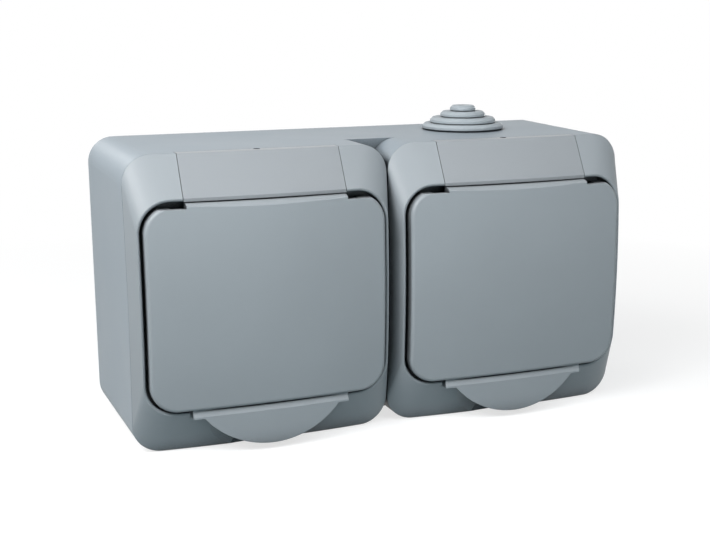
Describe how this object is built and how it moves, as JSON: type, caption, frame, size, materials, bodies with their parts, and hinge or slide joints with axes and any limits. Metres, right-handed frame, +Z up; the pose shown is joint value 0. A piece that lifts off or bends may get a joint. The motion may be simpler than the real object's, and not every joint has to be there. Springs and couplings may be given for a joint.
{
  "type": "outdoor weatherproof socket",
  "caption": "Surface-mounted weatherproof socket with domed, spring-closed hinged lids over earthed plug wells and a stepped cable grommet on top.",
  "frame": {"origin": "middle of the flat back, in the plane of the wall", "axes": "+X along both gangs, +Y into the wall, +Z up towards the cable grommet"},
  "size_m": [0.1524, 0.0587, 0.09],
  "materials": {
    "housing": "satin",
    "grommet": "satin",
    "insert": "satin",
    "carrier": "matt",
    "seal": "matt",
    "brass": "bright",
    "steel": "zinc plated"
  },
  "bodies": {
    "body": {"wall_box": "housing", "cable_grommet": "grommet", "front_cover_left": "housing", "hinge_panel_left": "housing", "lid_pin_left": "steel", "lid_spring_left": "steel", "socket_face_left": "insert", "socket_gasket_left": "seal", "contact_carrier_left": "carrier", "contact_live_left": "brass", "contact_neutral_left": "brass", "earth_bracket_left": "brass", "terminal_screws_left": "steel", "cover_screws_left": "steel", "carrier_screws_left": "steel", "centre_screw_left": "steel", "front_cover_right": "housing", "hinge_panel_right": "housing", "lid_pin_right": "steel", "lid_spring_right": "steel", "socket_face_right": "insert", "socket_gasket_right": "seal", "contact_carrier_right": "carrier", "contact_live_right": "brass", "contact_neutral_right": "brass", "earth_bracket_right": "brass", "terminal_screws_right": "steel", "cover_screws_right": "steel", "carrier_screws_right": "steel", "centre_screw_right": "steel"},
    "lid_left": {"lid_left": "housing", "lid_seal_left": "seal"},
    "lid_right": {"lid_right": "housing", "lid_seal_right": "seal"}
  },
  "joints": [
    {"name": "left_lid_hinge", "type": "hinge", "parent": "body", "child": "lid_left", "pos_m": [-0.03765, -0.05439, 0.0244], "axis": [-1, 0, 0], "range_deg": [0, 100], "stiffness_Nm_per_rad": 0.006, "springref_deg": -45.84, "deforming": ["lid_spring_left"]},
    {"name": "right_lid_hinge", "type": "hinge", "parent": "body", "child": "lid_right", "pos_m": [0.03765, -0.05439, 0.0244], "axis": [-1, 0, 0], "range_deg": [0, 100], "stiffness_Nm_per_rad": 0.006, "springref_deg": -45.84, "deforming": ["lid_spring_right"]}
  ]
}
